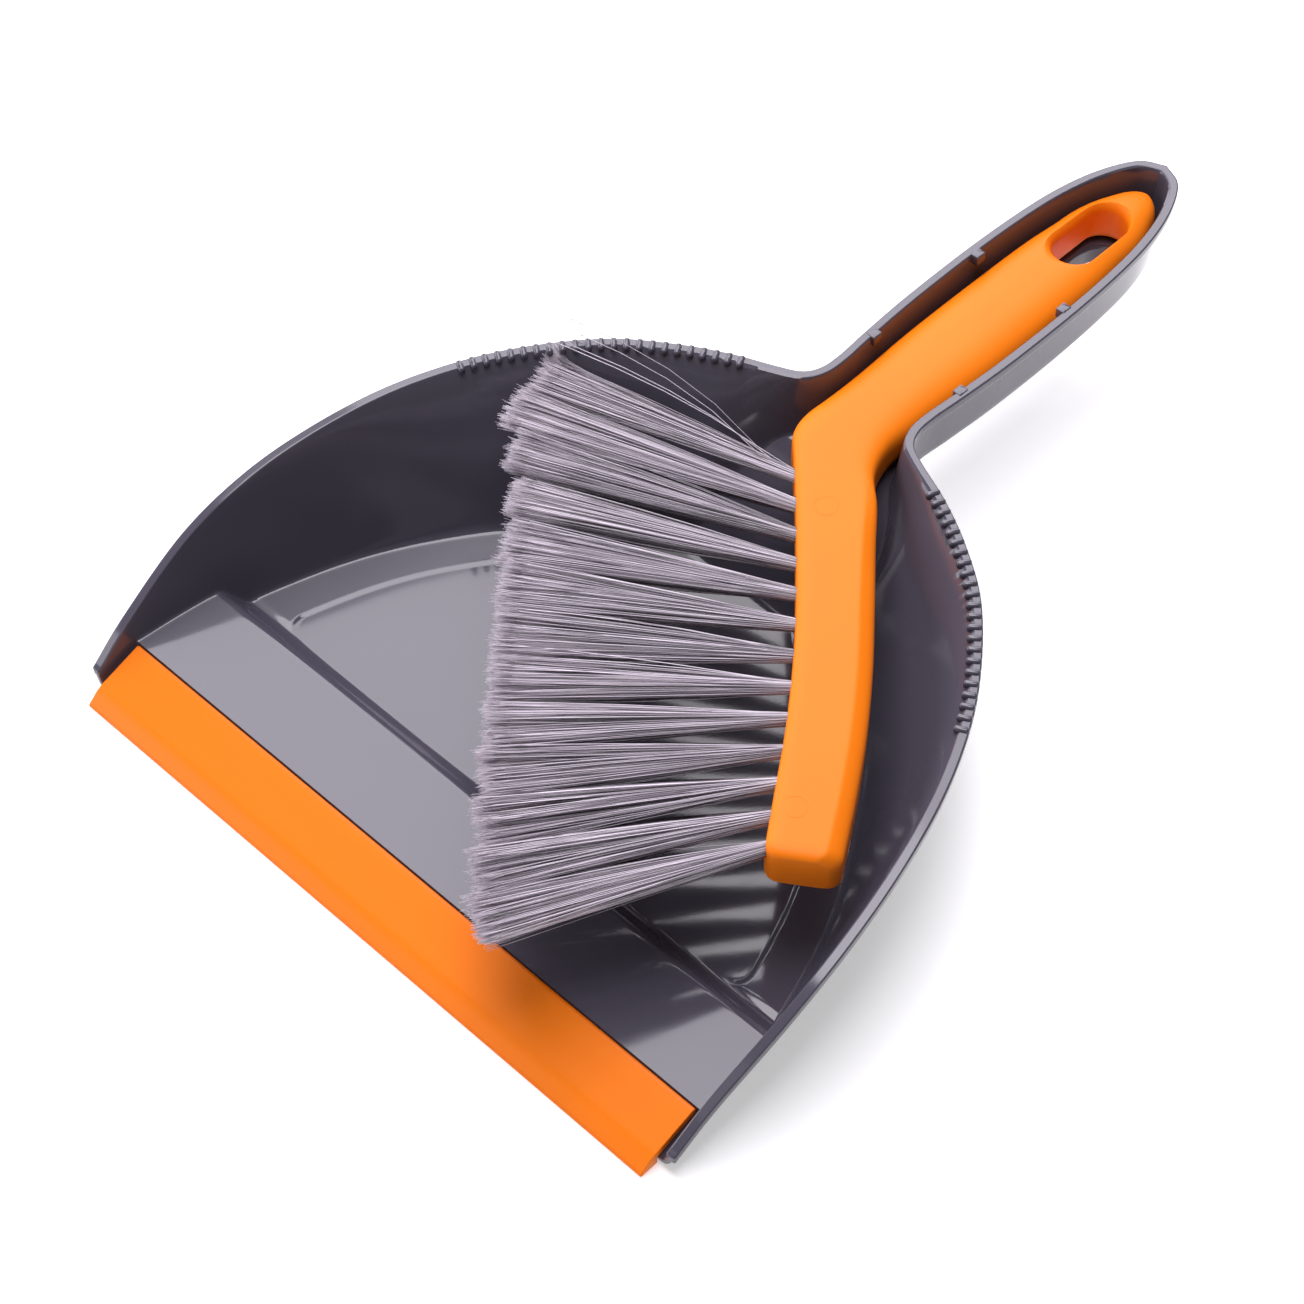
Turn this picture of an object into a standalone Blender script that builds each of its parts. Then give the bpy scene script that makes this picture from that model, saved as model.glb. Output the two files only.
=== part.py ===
"""Dustpan with a clip-in hand brush, lying with the brush stowed in the pan.

Frame: metres, +Z up. The pan stands on Z = 0, its straight front edge faces -Y and its
handle points to +Y. The origin is at the middle of the overall length and width.
"""

import math

import bmesh
import bpy
import numpy as np
from mathutils import Matrix, Vector

MM = 0.001

# ---- driving dimensions of the pan, in millimetres --------------------------------------
WALL = 2.2              # moulding thickness of floor and walls
RIM_WIDTH = 2.9         # width of the beaded top edge
BEAD_HEIGHT = 3.0       # height of the bead on the outside of the wall
BEAD_STEP = 0.9         # how far the bead stands proud of the wall
FLOOR_Z = WALL          # top of the low floor panel, so that its underside is the foot
STRIP_Z = 9.6           # top of the raised strip behind the lip
CHANNEL_Z = 30.1        # floor of the handle channel
STEP_FRONT = -120.0     # the strip starts to fall here ...
STEP_REAR = -111.5      # ... and has reached the low panel here
RAMP_FRONT = -14.0      # the floor starts to climb to the channel here ...
RAMP_REAR = 27.0        # ... and has reached it here
FLOOR_COLUMNS = (0.0, 0.4, 0.75, 1.0)   # a rib's points on the floor, out to its foot
RIB_START = 42          # the first rib that follows the curve of the rim
RIB_STEP = 7
TONGUE_FRONT = -160.2   # front edge of the tongue that carries the lip
SHOULDER = -146.7       # step at the rear edge of the lip

# One row per rib of the pan: rim x, rim y, rim z, lean of the wall in degrees, and the
# place on the centre line that the rib runs to.
RIM_KEYS = (
    (111.3, -160.2, 6.6, 12, -160.2),
    (112.3, -146.0, 17.0, 13, -146.0),
    (113.9, -122.0, 29.7, 16, -122.0),
    (112.9, -99.5, 37.2, 19, -100.0),
    (109.4, -77.0, 41.6, 22, -80.0),
    (103.4, -54.3, 44.5, 26, -64.0),
    (94.5, -33.5, 46.2, 29, -50.0),
    (83.9, -16.6, 47.4, 31, -38.0),
    (69.5, 0.2, 48.3, 32, -25.0),
    (54.4, 11.7, 48.6, 32, -12.0),
    (40.0, 20.0, 48.7, 30, -1.0),
    (28.0, 25.2, 48.7, 18, 11.0),
    (21.0, 28.9, 48.7, 9, 20.0),
    (18.1, 34.0, 48.7, 7, 29.0),
    (17.7, 41.5, 48.7, 7, 39.0),
    (18.5, 52.0, 48.7, 7, 50.0),
    (19.5, 71.0, 48.7, 7, 69.0),
    (19.7, 98.0, 48.7, 7, 95.0),
    (18.8, 121.0, 48.7, 7, 116.0),
    (16.9, 137.5, 48.7, 7, 130.0),
    (13.2, 151.5, 48.7, 8, 140.0),
    (7.4, 162.5, 48.7, 9, 146.0),
    (0.0, 166.5, 48.7, 9, 148.0),
)

TOOTH_COUNT = 23        # comb teeth on each rear rim
TOOTH_PITCH = 3.72
TOOTH_SIZE = (1.9, 3.7, 2.0)    # along the rim, across it, tall
TOOTH_PROUD = 0.7       # how far a tooth stands above the rim
FIRST_TOOTH = (36.5, 21.5)      # where on the rim the tooth nearest the handle stands
TOOTH_INSET = 0.15      # from the rim's outer edge

CLIP_SIZE = (2.6, 3.6, 3.0)     # nubs that hold the brush handle down
CLIP_INNER_X = 14.6
CLIP_TOP_Z = 48.4
CLIP_Y = (54.0, 99.0)

HOLE_Y = 131.5          # hanging hole, through the pan handle and the brush handle
PAN_HOLE = (12.0, 26.0)         # width, length
BRUSH_HOLE = (13.0, 28.0)
COLLAR_WALL = 1.7
COLLAR_BOTTOM_Z = 23.0
HOLE_OVERRUN = 9.0      # how far a hole's cutter reaches past the solid

# ---- driving dimensions of the lip -------------------------------------------------------
LIP_HALF_LENGTH = 106.2
LIP_FRONT = -166.5
LIP_CREASE = (-162.6, 4.3)      # y and z of the crease along the lip's top
LIP_REAR = (-147.0, 9.9)        # y and z of its rear top edge
LIP_THICKNESS = 2.3

# ---- driving dimensions of the brush -----------------------------------------------------
BRUSH_MID_Z = 38.3
# One row per section of the body: left edge x, y and right edge x, y, half thickness,
# and how square the section is (2 is an ellipse, 8 nearly a rectangle).
BODY_KEYS = (
    (-12.5, 131.0, 12.5, 131.0, 7.7, 2.7),
    (-13.9, 112.0, 13.9, 112.0, 7.8, 2.7),
    (-14.2, 70.0, 14.2, 70.0, 7.8, 2.7),
    (-13.1, 44.0, 13.1, 48.0, 7.7, 2.8),
    (-12.8, 31.0, 12.8, 36.5, 7.5, 3.2),
    (-12.6, 21.0, 13.2, 27.0, 7.3, 4.0),
    (-10.0, 13.5, 17.0, 17.6, 7.1, 5.5),
    (-3.7, 6.8, 25.0, 9.5, 6.9, 8.0),
    (9.0, -6.2, 34.0, -1.2, 6.9, 8.0),
    (32.5, -31.8, 48.4, -17.8, 6.9, 8.0),
    (46.0, -47.8, 62.4, -34.4, 6.9, 8.0),
    (58.7, -64.4, 75.2, -51.2, 6.9, 8.0),
    (70.2, -81.0, 87.0, -68.6, 6.9, 8.0),
    (79.6, -94.6, 96.2, -83.2, 6.9, 8.0),
)
BODY_STEPS = 2          # sections made between two rows
FACE_KEY = 7            # the row where the bristle face starts
HANDLE_TIP_Y = 158.2
HANDLE_TIP_HALF_THICKNESS = 4.0
TIP_TAPER = 1.25        # how much slimmer than an ellipse the tip is
BLOCK_END_RADIUS = 4.0

# One row per row of tufts: height, tufts, offset in pitches, rise in degrees, and the free
# length at the neck end and at the far end.
TUFT_ROWS = ((41.5, 13, 0.0, 2.5, 81.0, 75.0), (34.9, 12, 0.5, 0.0, 73.0, 74.0))
TUFT_PITCH = 10.6
FIRST_TUFT = 5.5        # along the bristle face from the neck
FAN_MIDDLE = 39.2       # direction of the middle tuft, in degrees from -X towards -Y
FAN_SPREAD = 22.7       # how far the outer tufts turn from that
TIP_CLEARANCE = 1.5     # every tuft stops this far above the pan's wall
TUFT_HOLE_RADIUS = 2.35
TUFT_HOLE_DEPTH = 11.0
DRILL_OVERRUN = 3.0     # how far a drill starts in front of the bristle face
TUFT_ROOT_RADIUS = 2.0
TUFT_TIP_HALF = (6.4, 3.2)      # across the fan, and in height
TUFT_MID_SHARE = (0.62, 0.85)   # how much of that a tuft has reached half way out
TUFT_SIDES = 10
SLOT_WIDTH = 8.0        # the slot for an anchor cuts right across its tuft
ANCHOR_SIZE = (3.9, 0.4, 1.8)   # across the hole, thick, along the hole
GAP = 0.3               # clearance between touching pieces


# ---- small helpers -----------------------------------------------------------------------
def clear_scene():
    """Remove every object, so that the build starts empty."""
    for old in list(bpy.data.objects):
        bpy.data.objects.remove(old, do_unlink=True)


def new_collection(name):
    """A collection linked to the scene."""
    group = bpy.data.collections.new(name)
    bpy.context.scene.collection.children.link(group)
    return group


def plastic(name, colour, roughness, metallic=0.0):
    """A Principled material."""
    material = bpy.data.materials.new(name)
    material.use_nodes = True
    shader = material.node_tree.nodes["Principled BSDF"]
    shader.inputs["Base Color"].default_value = (*colour, 1.0)
    shader.inputs["Roughness"].default_value = roughness
    shader.inputs["Metallic"].default_value = metallic
    return material


def object_from_bmesh(name, shape, group, material=None):
    """Turn a bmesh into a named object, with its faces pointing out."""
    bmesh.ops.recalc_face_normals(shape, faces=shape.faces)
    mesh = bpy.data.meshes.new(name)
    shape.to_mesh(mesh)
    shape.free()
    if material is not None:
        mesh.materials.append(material)
    thing = bpy.data.objects.new(name, mesh)
    group.objects.link(thing)
    return thing


def cutter_from_bmesh(name, shape, group):
    """A hidden tool for a Boolean."""
    tool = object_from_bmesh(name, shape, group)
    tool.display_type = "WIRE"
    tool.hide_render = True
    return tool


def boolean(target, tool, operation):
    """Add an exact Boolean to an object."""
    step = target.modifiers.new(tool.name, "BOOLEAN")
    step.operation = operation
    step.object = tool
    step.solver = "EXACT"


def smooth_curve(keys, count):
    """A Catmull-Rom curve through rows of numbers, with count steps between two rows."""
    keys = np.array(keys, dtype=float)
    padded = np.vstack([2 * keys[0] - keys[1], keys, 2 * keys[-1] - keys[-2]])
    rows = []
    for i in range(1, len(padded) - 2):
        before, start, end, after = padded[i - 1:i + 3]
        for t in np.linspace(0.0, 1.0, count, endpoint=False):
            rows.append(0.5 * (2 * start + (end - before) * t
                               + (2 * before - 5 * start + 4 * end - after) * t ** 2
                               + (3 * start - before - 3 * end + after) * t ** 3))
    rows.append(keys[-1])
    return np.array(rows)


def smoothstep(value, start, end):
    """0 before start, 1 after end, and a smooth climb between."""
    t = np.clip((value - start) / (end - start), 0.0, 1.0)
    return t * t * (3.0 - 2.0 * t)


def loft(rings):
    """A closed solid through rings of points, with flat ends."""
    shape = bmesh.new()
    loops = [[shape.verts.new(Vector(point) * MM) for point in ring] for ring in rings]
    for lower, upper in zip(loops, loops[1:]):
        for i in range(len(lower)):
            j = (i + 1) % len(lower)
            shape.faces.new((lower[i], lower[j], upper[j], upper[i]))
    shape.faces.new(reversed(loops[0]))
    shape.faces.new(loops[-1])
    return shape


def stadium(width, length, z, steps=8):
    """An oblong with round ends, lying along Y round the hanging hole's centre."""
    radius = width / 2
    reach = length / 2 - radius
    ring = []
    for end in (1, -1):
        for i in range(steps + 1):
            angle = math.pi * i / steps
            x = end * radius * math.cos(angle)
            y = end * (reach + radius * math.sin(angle))
            ring.append((x, HOLE_Y + y, z))
    return ring


# ---- the pan -----------------------------------------------------------------------------
RIM = smooth_curve(RIM_KEYS, 12)


def tongue_top(y):
    """Height of the tongue under the lip, parallel to the lip's top."""
    slope = (LIP_REAR[1] - LIP_CREASE[1]) / (LIP_REAR[0] - LIP_CREASE[0])
    lip_top = LIP_REAR[1] + slope * (y - LIP_REAR[0])
    return lip_top - (LIP_THICKNESS + GAP) / math.cos(math.atan(slope))


def floor_height(y):
    """Height of the pan's floor along its centre line."""
    strip = STRIP_Z + (FLOOR_Z - STRIP_Z) * smoothstep(y, STEP_FRONT, STEP_REAR)
    ramp = strip + (CHANNEL_Z - FLOOR_Z) * smoothstep(y, RAMP_FRONT, RAMP_REAR)
    return np.where(y < SHOULDER, tongue_top(y), ramp)


def wall_height(x, y):
    """Height of the leaning wall above a place in plan, and how far the rim is."""
    reach = np.hypot(RIM[:, 0] - abs(x), RIM[:, 1] - y)
    near = int(np.argmin(reach))
    lean = math.radians(RIM[near, 3])
    return RIM[near, 2] - (reach[near] - RIM_WIDTH) / math.tan(lean), reach[near]


def rib_rows():
    """The rims of the ribs: placed at the steps of the floor in front, even behind."""
    front = (TONGUE_FRONT, SHOULDER - GAP, SHOULDER + GAP, -133.0, STEP_FRONT, STEP_REAR)
    rows = []
    for y in front:
        rows.append([np.interp(y, RIM[:, 1], RIM[:, i]) for i in range(5)])
        rows[-1][4] = y
    return np.array(rows + [row for row in RIM[RIB_START::RIB_STEP]] + [RIM[-1]])


def rib_section(row):
    """One rib of the pan's right half: its inner face, the bead, and its outer face."""
    rim_x, rim_y, rim_z, _, centre_y = row
    centre = np.array((0.0, centre_y))
    rim = np.array((rim_x, rim_y))
    length = np.linalg.norm(rim - centre)
    outward = (rim - centre) / length
    reach = np.linspace(0.0, length, 400)
    places = centre + reach[:, None] * outward
    wall = np.array([wall_height(x, y) for x, y in places])
    low = floor_height(places[:, 1])
    foot = np.interp(0.0, wall[:, 0] - low, reach)
    top = np.interp(-RIM_WIDTH, -wall[:, 1], reach)
    floor_stops = [foot * part for part in FLOOR_COLUMNS]
    face = [(stop, np.interp(stop, reach, low)) for stop in floor_stops]
    foot_z = face[-1][1]
    face += [(foot + (top - foot) * part, foot_z + (rim_z - foot_z) * part) for part in (0.5, 1.0)]
    face = np.array(face)
    bead = [(length - inset, rim_z - drop)
            for inset, drop in ((0.4, 0.0), (0.0, 0.4), (0.0, BEAD_HEIGHT - 0.6), (BEAD_STEP, BEAD_HEIGHT))]
    tangent = np.gradient(face, axis=0)
    tangent /= np.linalg.norm(tangent, axis=1)[:, None]
    back = face + WALL * np.column_stack([tangent[:, 1], -tangent[:, 0]])
    back[:len(floor_stops) - 1] = face[:len(floor_stops) - 1] - (0.0, WALL)
    ring = [*face, *bead, *back[-2::-1]]
    ring[-1] = (0.0, ring[-1][1])
    return [(*(centre + reach * outward), z) for reach, z in ring]


def pan_shell(group, material):
    """The scoop and its channel handle as one moulding."""
    shape = bmesh.new()
    loops = []
    for row in rib_rows():
        loops.append([shape.verts.new(Vector(point) * MM) for point in rib_section(row)])
    for lower, upper in zip(loops, loops[1:]):
        for i in range(len(lower) - 1):
            shape.faces.new((lower[i], lower[i + 1], upper[i + 1], upper[i]))
    shape.faces.new(loops[0])
    pan = object_from_bmesh("pan", shape, group, material)
    mirror = pan.modifiers.new("mirror", "MIRROR")
    mirror.merge_threshold = 0.0001
    return pan


def comb_teeth(group):
    """Bars along both rear rims that comb the brush clean."""
    first = int(np.argmin(np.hypot(RIM[:, 0] - FIRST_TOOTH[0], RIM[:, 1] - FIRST_TOOTH[1])))
    back = RIM[first::-1]
    run = np.concatenate([[0.0], np.cumsum(np.linalg.norm(np.diff(back[:, :2], axis=0), axis=1))])
    shape = bmesh.new()
    for number in range(TOOTH_COUNT):
        at = [np.interp(number * TOOTH_PITCH, run, back[:, i]) for i in range(3)]
        ahead = [np.interp(number * TOOTH_PITCH + 1.0, run, back[:, i]) for i in range(3)]
        turn = math.atan2(ahead[1] - at[1], ahead[0] - at[0])
        for side in (1, -1):
            inset = TOOTH_SIZE[1] / 2 + TOOTH_INSET
            x = at[0] + inset * math.sin(turn)
            y = at[1] - inset * math.cos(turn)
            z = at[2] + TOOTH_PROUD - TOOTH_SIZE[2] / 2
            place = Matrix.Translation(Vector((side * x, y, z)) * MM)
            spin = Matrix.Rotation(side * turn, 4, "Z")
            size = Matrix.Diagonal((*[value * MM for value in TOOTH_SIZE], 1.0))
            bmesh.ops.create_cube(shape, size=1.0, matrix=place @ spin @ size)
    return cutter_from_bmesh("comb_teeth", shape, group)


def clip_nubs(group):
    """Four nubs on the channel's walls, over the edge of the brush handle."""
    shape = bmesh.new()
    for y in CLIP_Y:
        for side in (1, -1):
            x = side * (CLIP_INNER_X + CLIP_SIZE[0] / 2)
            place = Matrix.Translation(Vector((x, y, CLIP_TOP_Z - CLIP_SIZE[2] / 2)) * MM)
            size = Matrix.Diagonal((*[value * MM for value in CLIP_SIZE], 1.0))
            bmesh.ops.create_cube(shape, size=1.0, matrix=place @ size)
    return cutter_from_bmesh("clip_nubs", shape, group)


def hole_collar(group):
    """The skirt round the hanging hole, under the channel's floor."""
    width = PAN_HOLE[0] + 2 * COLLAR_WALL
    length = PAN_HOLE[1] + 2 * COLLAR_WALL
    rings = [stadium(width, length, z) for z in (COLLAR_BOTTOM_Z, CHANNEL_Z - WALL / 2)]
    return cutter_from_bmesh("hole_collar", loft(rings), group)


def hole_cutter(name, size, bottom, top, group):
    """The cutter of a hanging hole, which reaches well past both of its ends."""
    rings = [stadium(*size, z) for z in (bottom - HOLE_OVERRUN, top + HOLE_OVERRUN)]
    return cutter_from_bmesh(name, loft(rings), group)


def make_pan(parts, cutters, material):
    """The pan with its collar, hole, clips and comb."""
    pan = pan_shell(parts, material)
    boolean(pan, hole_collar(cutters), "UNION")
    boolean(pan, hole_cutter("pan_hole_cutter", PAN_HOLE, COLLAR_BOTTOM_Z, CHANNEL_Z, cutters), "DIFFERENCE")
    boolean(pan, clip_nubs(cutters), "UNION")
    boolean(pan, comb_teeth(cutters), "UNION")
    return pan


# ---- the lip -----------------------------------------------------------------------------
def make_lip(parts, material):
    """The soft strip along the front edge: a nose on the ground and a leaf over the tongue."""
    slope = (LIP_REAR[1] - LIP_CREASE[1]) / (LIP_REAR[0] - LIP_CREASE[0])
    drop = LIP_THICKNESS / math.cos(math.atan(slope))
    nose_rear = TONGUE_FRONT - GAP
    leaf = LIP_REAR[1] + slope * (nose_rear - LIP_REAR[0]) - drop
    profile = (
        (LIP_FRONT, 0.0), (LIP_FRONT, 0.7), LIP_CREASE, LIP_REAR,
        (LIP_REAR[0], LIP_REAR[1] - drop), (nose_rear, leaf), (nose_rear, 0.0),
    )
    rings = [[(x, y, z) for y, z in profile] for x in (-LIP_HALF_LENGTH, LIP_HALF_LENGTH)]
    return object_from_bmesh("lip", loft(rings), parts, material)


# ---- the brush ---------------------------------------------------------------------------
BODY = smooth_curve(BODY_KEYS, BODY_STEPS)


def body_ring(left, right, half_thickness, square, count=16):
    """A section across the body, from its left edge to its right edge."""
    ring = []
    for i in range(count):
        angle = 2 * math.pi * i / count
        across = math.copysign(abs(math.cos(angle)) ** (2 / square), math.cos(angle))
        up = math.copysign(abs(math.sin(angle)) ** (2 / square), math.sin(angle))
        x = (left[0] + right[0]) / 2 + across * (right[0] - left[0]) / 2
        y = (left[1] + right[1]) / 2 + across * (right[1] - left[1]) / 2
        ring.append((x, y, BRUSH_MID_Z + up * half_thickness))
    return ring


def handle_tip_rings():
    """The round end of the handle, as an ellipse in plan."""
    start = BODY[0]
    rings = []
    for angle in (12, 30, 50, 70):
        turn = math.radians(angle)
        half = start[2] * math.sin(turn) ** TIP_TAPER
        y = start[1] + (HANDLE_TIP_Y - start[1]) * math.cos(turn)
        thick = HANDLE_TIP_HALF_THICKNESS + (start[4] - HANDLE_TIP_HALF_THICKNESS) * math.sin(turn)
        rings.append(body_ring((-half, y), (half, y), thick, start[5]))
    return rings


def block_end_rings():
    """The rounded end of the block."""
    left, right = BODY[-1][:2], BODY[-1][2:4]
    across = (right - left) / np.linalg.norm(right - left)
    ahead = np.array((across[1], -across[0]))
    rings = []
    for angle in (30, 60, 85):
        turn = math.radians(angle)
        inset = BLOCK_END_RADIUS * (1 - math.cos(turn))
        reach = BLOCK_END_RADIUS * math.sin(turn)
        thick = BODY[-1][4] - inset / 2
        rings.append(body_ring(left + across * inset + ahead * reach,
                               right - across * inset + ahead * reach, thick, BODY[-1][5]))
    return rings


def tufts():
    """Name, root frame and free length of every tuft."""
    face = BODY[FACE_KEY * BODY_STEPS:, :2]
    run = np.concatenate([[0.0], np.cumsum(np.linalg.norm(np.diff(face, axis=0), axis=1))])
    middle = (TUFT_ROWS[0][1] - 1) / 2
    found = []
    for row, (z, count, offset, rise, near_length, far_length) in enumerate(TUFT_ROWS):
        for i in range(count):
            step = i + offset
            place = [np.interp(FIRST_TUFT + step * TUFT_PITCH, run, face[:, k]) for k in range(2)]
            angle = math.radians(FAN_MIDDLE + FAN_SPREAD * (step - middle) / middle)
            length = np.interp(step, (0, 2 * middle), (near_length, far_length))
            name = f"{'upper' if row == 0 else 'lower'}_{i + 1:02d}"
            root = tuft_frame(Vector((*place, z)), angle, math.radians(rise))
            while tip_clearance(root, length) < TIP_CLEARANCE:
                length -= 1.0
            found.append((name, root, float(length)))
    return found


def tip_clearance(root, length):
    """The least height of a tuft's tip above the pan's wall."""
    least = math.inf
    for side in (-1, 0, 1):
        tip = root @ Vector((side * TUFT_TIP_HALF[0] * MM, 0.0, length * MM)) / MM
        least = min(least, tip.z - TUFT_TIP_HALF[1] - wall_height(tip.x, tip.y)[0])
    return least


def tuft_frame(place, angle, rise):
    """Axes with Z along the tuft, X across the fan and Y up, at the tuft's root."""
    flat = Vector((-math.cos(angle), -math.sin(angle), 0.0))
    along = flat * math.cos(rise) + Vector((0.0, 0.0, math.sin(rise)))
    across = Vector((0.0, 0.0, 1.0)).cross(flat)
    up = along.cross(across)
    return Matrix.Translation(place * MM) @ Matrix((across, up, along)).transposed().to_4x4()


def make_brush_body(parts, cutters, material):
    """Handle, neck and block as one moulding, with its hanging hole and tuft holes."""
    rings = handle_tip_rings()
    rings += [body_ring(row[:2], row[2:4], row[4], row[5]) for row in BODY]
    rings += block_end_rings()
    body = object_from_bmesh("brush_body", loft(rings), parts, material)
    boolean(body, hole_cutter("brush_hole_cutter", BRUSH_HOLE, BRUSH_MID_Z, BRUSH_MID_Z, cutters), "DIFFERENCE")
    drills = bmesh.new()
    for _, root, _ in tufts():
        depth = TUFT_HOLE_DEPTH + DRILL_OVERRUN
        shift = Matrix.Translation((0.0, 0.0, (depth / 2 - TUFT_HOLE_DEPTH) * MM))
        bmesh.ops.create_cone(
            drills, cap_ends=True, segments=12, radius1=TUFT_HOLE_RADIUS * MM,
            radius2=TUFT_HOLE_RADIUS * MM, depth=depth * MM, matrix=root @ shift)
    boolean(body, cutter_from_bmesh("tuft_drills", drills, cutters), "DIFFERENCE")
    return body


def make_tuft(name, root, length, parts, cutters, material):
    """A bundle of filaments: round in its hole, fanned flat towards its tips."""
    inner_end = -(TUFT_HOLE_DEPTH - GAP)
    widths = ((inner_end, TUFT_ROOT_RADIUS, TUFT_ROOT_RADIUS), (2.0, TUFT_ROOT_RADIUS, TUFT_ROOT_RADIUS),
              (length / 2, *[half * share for half, share in zip(TUFT_TIP_HALF, TUFT_MID_SHARE)]),
              (length, *TUFT_TIP_HALF))
    rings = []
    for reach, half_across, half_up in widths:
        turns = [2 * math.pi * i / TUFT_SIDES for i in range(TUFT_SIDES)]
        rings.append([(half_across * math.cos(t), half_up * math.sin(t), reach) for t in turns])
    shape = loft(rings)
    shape.transform(root)
    tuft = object_from_bmesh(f"tuft_{name}", shape, parts, material)
    slot = bmesh.new()
    depth = ANCHOR_SIZE[2] + 2 * GAP
    size = Matrix.Diagonal((SLOT_WIDTH * MM, (ANCHOR_SIZE[1] + 2 * GAP) * MM, 2 * depth * MM, 1.0))
    shift = Matrix.Translation((0.0, 0.0, inner_end * MM))
    bmesh.ops.create_cube(slot, size=1.0, matrix=root @ shift @ size)
    boolean(tuft, cutter_from_bmesh(f"slot_{name}", slot, cutters), "DIFFERENCE")
    return tuft


def make_anchor(name, root, parts, material):
    """The flat metal staple that holds a folded tuft at the bottom of its hole."""
    shape = bmesh.new()
    middle = -(TUFT_HOLE_DEPTH - GAP) + ANCHOR_SIZE[2] / 2
    shift = Matrix.Translation((0.0, 0.0, middle * MM))
    size = Matrix.Diagonal((*[value * MM for value in ANCHOR_SIZE], 1.0))
    bmesh.ops.create_cube(shape, size=1.0, matrix=root @ shift @ size)
    return object_from_bmesh(f"anchor_{name}", shape, parts, material)


def main():
    """Build every piece."""
    clear_scene()
    parts = new_collection("dustpan_and_brush")
    cutters = new_collection("cutters")
    grey = plastic("grey polypropylene", (0.20, 0.19, 0.23), 0.22)
    orange = plastic("orange polypropylene", (1.0, 0.30, 0.02), 0.45)
    rubber = plastic("orange soft lip", (0.95, 0.25, 0.01), 0.40)
    bristle = plastic("grey filament", (0.42, 0.38, 0.43), 0.35)
    steel = plastic("anchor wire", (0.60, 0.60, 0.62), 0.30, 1.0)
    make_pan(parts, cutters, grey)
    make_lip(parts, rubber)
    make_brush_body(parts, cutters, orange)
    for name, root, length in tufts():
        make_tuft(name, root, length, parts, cutters, bristle)
        make_anchor(name, root, parts, steel)


main()
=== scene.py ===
"""Dustpan and hand brush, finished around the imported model. Metres, +Z up."""

import math

import bpy
import numpy as np
from mathutils import Matrix, Vector


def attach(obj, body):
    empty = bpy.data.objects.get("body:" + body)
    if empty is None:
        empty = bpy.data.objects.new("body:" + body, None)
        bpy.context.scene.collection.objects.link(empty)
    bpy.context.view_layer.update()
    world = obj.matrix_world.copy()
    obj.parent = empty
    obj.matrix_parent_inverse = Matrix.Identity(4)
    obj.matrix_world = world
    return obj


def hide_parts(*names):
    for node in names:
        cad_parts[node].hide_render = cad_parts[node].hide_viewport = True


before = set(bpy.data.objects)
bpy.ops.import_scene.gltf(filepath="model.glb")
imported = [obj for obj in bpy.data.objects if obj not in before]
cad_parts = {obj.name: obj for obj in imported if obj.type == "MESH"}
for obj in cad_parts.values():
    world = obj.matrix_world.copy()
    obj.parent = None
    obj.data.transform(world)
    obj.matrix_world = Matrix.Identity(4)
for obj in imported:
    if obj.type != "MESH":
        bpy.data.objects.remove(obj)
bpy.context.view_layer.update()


# ==== The pan ======================================================================
# A flat scoop with leaning walls that runs into an open channel handle. It is one
# injection moulding in glossy grey polypropylene, with a bead round its whole edge.
MM = 0.001
PAN_WALL = 2.2
RIM_WIDTH = 2.9
STRIP_Z = 9.6               # top of the raised strip behind the lip
CHANNEL_Z = 30.1            # floor of the handle channel
STEP_FRONT, STEP_REAR = -120.0, -111.5      # the strip steps down to the low panel
RAMP_FRONT, RAMP_REAR = -14.0, 27.0         # the low panel climbs to the channel
SHOULDER = -146.7           # step down to the tongue that carries the lip
FRONT_ROUND = 0.7           # rounding of the walls' front ends
FOOT_FILLET = 2.4
BORDER_RISE = 0.45          # the border round the low panel stands this much higher
BORDER_WIDTH = 13.0
BORDER_CORNER = 7.0         # radius of the panel's corners
BORDER_SLOPE = 0.7          # half the width of the small slope round the panel
BORDER_ENDS = (-30.0, -5.0)     # where the border runs out under the brush
LIP_CREASE = (-162.6, 4.3)  # y and z of the crease along the lip's top
LIP_REAR = (-147.0, 9.9)    # y and z of its rear top edge
LIP_SLOPE = (LIP_REAR[1] - LIP_CREASE[1]) / (LIP_REAR[0] - LIP_CREASE[0])
LIP_THICKNESS = 2.3
BOND_GAP = 0.3              # room for the bond between the lip and its tongue

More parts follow.
